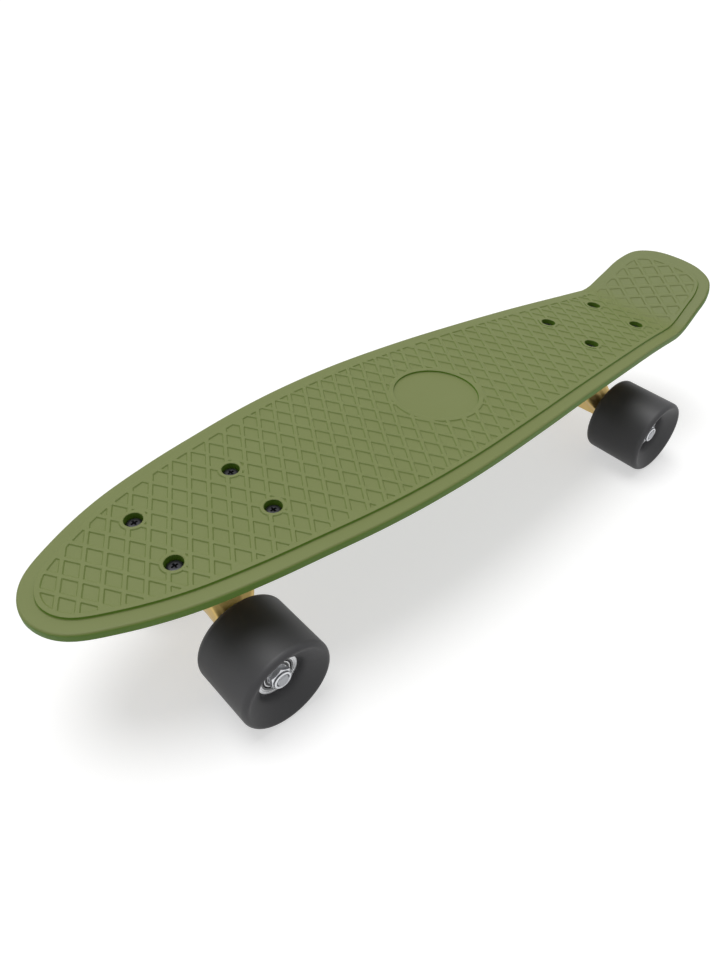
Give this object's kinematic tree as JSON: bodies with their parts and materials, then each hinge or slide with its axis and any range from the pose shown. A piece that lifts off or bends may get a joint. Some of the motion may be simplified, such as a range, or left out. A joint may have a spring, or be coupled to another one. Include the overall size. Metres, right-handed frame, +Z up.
{
  "type": "cruiser skateboard",
  "caption": "Short moulded plastic cruiser skateboard with a kicked tail, two sprung steering trucks and soft dark wheels on ball bearings.",
  "frame": {"origin": "on the ground, under the middle of the board's outer box, with the board standing on its four wheels", "axes": "+X toward the nose, +Y toward the board's left, +Z up"},
  "size_m": [0.588, 0.1648, 0.1259],
  "materials": {
    "deck_plastic": "moulded olive green, satin",
    "gold_aluminium": "cast, gold coated, satin",
    "wheel_urethane": "poured urethane, dark grey, satin",
    "bushing_urethane": "black urethane",
    "pivot_cup_urethane": "black urethane",
    "bearing_steel": "ground, bright",
    "axle_steel": "turned, bright",
    "zinc_steel": "zinc plated",
    "black_steel": "black oxide"
  },
  "bodies": {
    "board": {"deck": "deck_plastic", "front_baseplate": "gold_aluminium", "front_pivot_cup": "pivot_cup_urethane", "front_kingpin": "zinc_steel", "front_board_side_bushing": "bushing_urethane", "front_road_side_bushing": "bushing_urethane", "front_cup_washer": "zinc_steel", "front_kingpin_nut": "zinc_steel", "front_bolt_1": "black_steel", "front_bolt_2": "black_steel", "front_bolt_3": "black_steel", "front_bolt_4": "black_steel", "front_lock_nut_1": "black_steel", "front_lock_nut_2": "black_steel", "front_lock_nut_3": "black_steel", "front_lock_nut_4": "black_steel", "rear_baseplate": "gold_aluminium", "rear_pivot_cup": "pivot_cup_urethane", "rear_kingpin": "zinc_steel", "rear_board_side_bushing": "bushing_urethane", "rear_road_side_bushing": "bushing_urethane", "rear_cup_washer": "zinc_steel", "rear_kingpin_nut": "zinc_steel", "rear_bolt_1": "black_steel", "rear_bolt_2": "black_steel", "rear_bolt_3": "black_steel", "rear_bolt_4": "black_steel", "rear_lock_nut_1": "black_steel", "rear_lock_nut_2": "black_steel", "rear_lock_nut_3": "black_steel", "rear_lock_nut_4": "black_steel"},
    "front_truck_hanger": {"front_hanger": "gold_aluminium", "front_axle": "axle_steel", "front_left_inner_speed_washer": "zinc_steel", "front_left_outer_speed_washer": "zinc_steel", "front_left_axle_nut": "zinc_steel", "front_right_inner_speed_washer": "zinc_steel", "front_right_outer_speed_washer": "zinc_steel", "front_right_axle_nut": "zinc_steel"},
    "rear_truck_hanger": {"rear_hanger": "gold_aluminium", "rear_axle": "axle_steel", "rear_left_inner_speed_washer": "zinc_steel", "rear_left_outer_speed_washer": "zinc_steel", "rear_left_axle_nut": "zinc_steel", "rear_right_inner_speed_washer": "zinc_steel", "rear_right_outer_speed_washer": "zinc_steel", "rear_right_axle_nut": "zinc_steel"},
    "front_left_rolling_wheel": {"front_left_wheel": "wheel_urethane", "front_left_inner_bearing": "bearing_steel", "front_left_outer_bearing": "bearing_steel"},
    "front_right_rolling_wheel": {"front_right_wheel": "wheel_urethane", "front_right_inner_bearing": "bearing_steel", "front_right_outer_bearing": "bearing_steel"},
    "rear_left_rolling_wheel": {"rear_left_wheel": "wheel_urethane", "rear_left_inner_bearing": "bearing_steel", "rear_left_outer_bearing": "bearing_steel"},
    "rear_right_rolling_wheel": {"rear_right_wheel": "wheel_urethane", "rear_right_inner_bearing": "bearing_steel", "rear_right_outer_bearing": "bearing_steel"}
  },
  "joints": [
    {"name": "front_steer", "type": "hinge", "parent": "board", "child": "front_truck_hanger", "pos_m": [0.16842, 0, 0.04741], "axis": [0.8665, 0, 0.4992], "range_deg": [-15, 15], "stiffness_Nm_per_rad": 30, "deforming": ["front_board_side_bushing", "front_road_side_bushing"]},
    {"name": "rear_steer", "type": "hinge", "parent": "board", "child": "rear_truck_hanger", "pos_m": [-0.15571, 0, 0.04741], "axis": [-0.8665, 0, 0.4992], "range_deg": [-15, 15], "stiffness_Nm_per_rad": 30, "deforming": ["rear_board_side_bushing", "rear_road_side_bushing"]},
    {"name": "front_left_spin", "type": "hinge", "parent": "front_truck_hanger", "child": "front_left_rolling_wheel", "pos_m": [0.19302, 0.0575, 0.03001], "axis": [0, 1, 0], "continuous": true},
    {"name": "front_right_spin", "type": "hinge", "parent": "front_truck_hanger", "child": "front_right_rolling_wheel", "pos_m": [0.19302, -0.0575, 0.03001], "axis": [0, 1, 0], "continuous": true},
    {"name": "rear_left_spin", "type": "hinge", "parent": "rear_truck_hanger", "child": "rear_left_rolling_wheel", "pos_m": [-0.18031, 0.0575, 0.03001], "axis": [0, 1, 0], "continuous": true},
    {"name": "rear_right_spin", "type": "hinge", "parent": "rear_truck_hanger", "child": "rear_right_rolling_wheel", "pos_m": [-0.18031, -0.0575, 0.03001], "axis": [0, 1, 0], "continuous": true}
  ]
}
